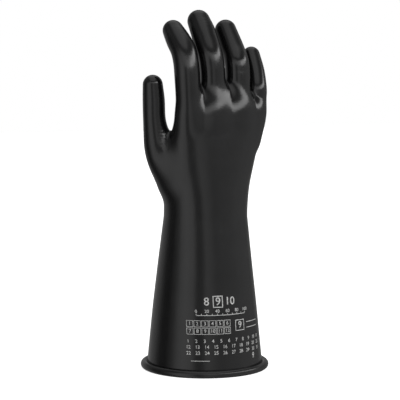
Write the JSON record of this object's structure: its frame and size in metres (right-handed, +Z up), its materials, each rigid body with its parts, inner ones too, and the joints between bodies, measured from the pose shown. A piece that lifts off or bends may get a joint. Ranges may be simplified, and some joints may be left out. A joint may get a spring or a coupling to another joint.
{
  "type": "rubber gauntlet glove",
  "caption": "Hollow right-hand rubber gauntlet glove with a flared cuff and rolled rim; its wrist, fingers and thumb bend on sprung hinges.",
  "frame": {"origin": "centre of the flat ring on the underside of the rolled rim, on the cuff's axis", "axes": "+Z up the forearm to the fingertips, -Y out of the back of the hand, +Y out of the palm, -X towards the thumb"},
  "size_m": [0.1275, 0.1248, 0.347],
  "materials": {
    "dipped_skin": "glossy, smooth dipped rubber",
    "rolled_rim": "glossy, smooth dipped rubber"
  },
  "bodies": {
    "gauntlet": {"rolled_rim": "rolled_rim", "gauntlet_sleeve": "dipped_skin", "wrist_flex": "dipped_skin"},
    "hand": {"palm_shell": "dipped_skin", "hand_flex": "dipped_skin", "thumb_base_flex": "dipped_skin"},
    "knuckles": {"finger_roots": "dipped_skin", "index_knuckle_flex": "dipped_skin", "middle_knuckle_flex": "dipped_skin", "ring_knuckle_flex": "dipped_skin", "little_knuckle_flex": "dipped_skin"},
    "index_middle": {"index_middle": "dipped_skin", "index_tip_flex": "dipped_skin"},
    "index_tip": {"index_fingertip": "dipped_skin"},
    "middle_middle": {"middle_middle": "dipped_skin", "middle_tip_flex": "dipped_skin"},
    "middle_tip": {"middle_fingertip": "dipped_skin"},
    "ring_middle": {"ring_middle": "dipped_skin", "ring_tip_flex": "dipped_skin"},
    "ring_tip": {"ring_fingertip": "dipped_skin"},
    "little_middle": {"little_middle": "dipped_skin", "little_tip_flex": "dipped_skin"},
    "little_tip": {"little_fingertip": "dipped_skin"},
    "thumb_proximal": {"thumb_proximal": "dipped_skin", "thumb_tip_flex": "dipped_skin"},
    "thumb_tip": {"thumb_fingertip": "dipped_skin"}
  },
  "joints": [
    {"name": "wrist_bend", "type": "hinge", "parent": "gauntlet", "child": "hand", "pos_m": [0.0005, -0.001, 0.148], "axis": [-1, 0, 0], "range_deg": [-35, 40], "stiffness_Nm_per_rad": 1.5, "deforming": ["wrist_flex"]},
    {"name": "palm_fold", "type": "hinge", "parent": "hand", "child": "knuckles", "pos_m": [0.0094, -0.0148, 0.244], "axis": [-1, 0, 0], "range_deg": [-15, 45], "stiffness_Nm_per_rad": 0.5, "deforming": ["hand_flex"]},
    {"name": "index_knuckle_bend", "type": "hinge", "parent": "knuckles", "child": "index_middle", "pos_m": [-0.0245, -0.0107, 0.296], "axis": [-1, 0, 0], "range_deg": [-20, 60], "stiffness_Nm_per_rad": 0.06, "deforming": ["index_knuckle_flex"]},
    {"name": "index_tip_bend", "type": "hinge", "parent": "index_middle", "child": "index_tip", "pos_m": [-0.02583, -0.00073, 0.31557], "axis": [-1, 0, 0], "range_deg": [-12, 36], "stiffness_Nm_per_rad": 0.04, "deforming": ["index_tip_flex"]},
    {"name": "middle_knuckle_bend", "type": "hinge", "parent": "knuckles", "child": "middle_middle", "pos_m": [0.00165, -0.0124, 0.297], "axis": [-1, 0, 0], "range_deg": [-20, 60], "stiffness_Nm_per_rad": 0.06, "deforming": ["middle_knuckle_flex"]},
    {"name": "middle_tip_bend", "type": "hinge", "parent": "middle_middle", "child": "middle_tip", "pos_m": [0.00026, -0.00087, 0.31914], "axis": [-1, 0, 0], "range_deg": [-12, 36], "stiffness_Nm_per_rad": 0.04, "deforming": ["middle_tip_flex"]},
    {"name": "ring_knuckle_bend", "type": "hinge", "parent": "knuckles", "child": "ring_middle", "pos_m": [0.0301, -0.0105, 0.292], "axis": [-1, 0, 0], "range_deg": [-20, 60], "stiffness_Nm_per_rad": 0.06, "deforming": ["ring_knuckle_flex"]},
    {"name": "ring_tip_bend", "type": "hinge", "parent": "ring_middle", "child": "ring_tip", "pos_m": [0.0301, -0.00051, 0.3116], "axis": [-1, 0, 0], "range_deg": [-12, 36], "stiffness_Nm_per_rad": 0.04, "deforming": ["ring_tip_flex"]},
    {"name": "little_knuckle_bend", "type": "hinge", "parent": "knuckles", "child": "little_middle", "pos_m": [0.0525, -0.0084, 0.2735], "axis": [-1, 0, 0], "range_deg": [-20, 60], "stiffness_Nm_per_rad": 0.06, "deforming": ["little_knuckle_flex"]},
    {"name": "little_tip_bend", "type": "hinge", "parent": "little_middle", "child": "little_tip", "pos_m": [0.05489, 0.00045, 0.28841], "axis": [-1, 0, 0], "range_deg": [-12, 36], "stiffness_Nm_per_rad": 0.04, "deforming": ["little_tip_flex"]},
    {"name": "thumb_base_bend", "type": "hinge", "parent": "hand", "child": "thumb_proximal", "pos_m": [-0.0477, 0.0086, 0.23], "axis": [0.866, -0.5, 0], "range_deg": [-30, 15], "stiffness_Nm_per_rad": 0.08, "deforming": ["thumb_base_flex"]},
    {"name": "thumb_tip_bend", "type": "hinge", "parent": "thumb_proximal", "child": "thumb_tip", "pos_m": [-0.04958, 0.00899, 0.25503], "axis": [0.866, -0.5, 0], "range_deg": [-45, 10], "stiffness_Nm_per_rad": 0.05, "deforming": ["thumb_tip_flex"]}
  ],
  "couplings": [
    {"joint": "index_tip_bend", "follows": "index_knuckle_bend", "ratio": 0.6},
    {"joint": "middle_tip_bend", "follows": "middle_knuckle_bend", "ratio": 0.6},
    {"joint": "ring_tip_bend", "follows": "ring_knuckle_bend", "ratio": 0.6},
    {"joint": "little_tip_bend", "follows": "little_knuckle_bend", "ratio": 0.6}
  ]
}
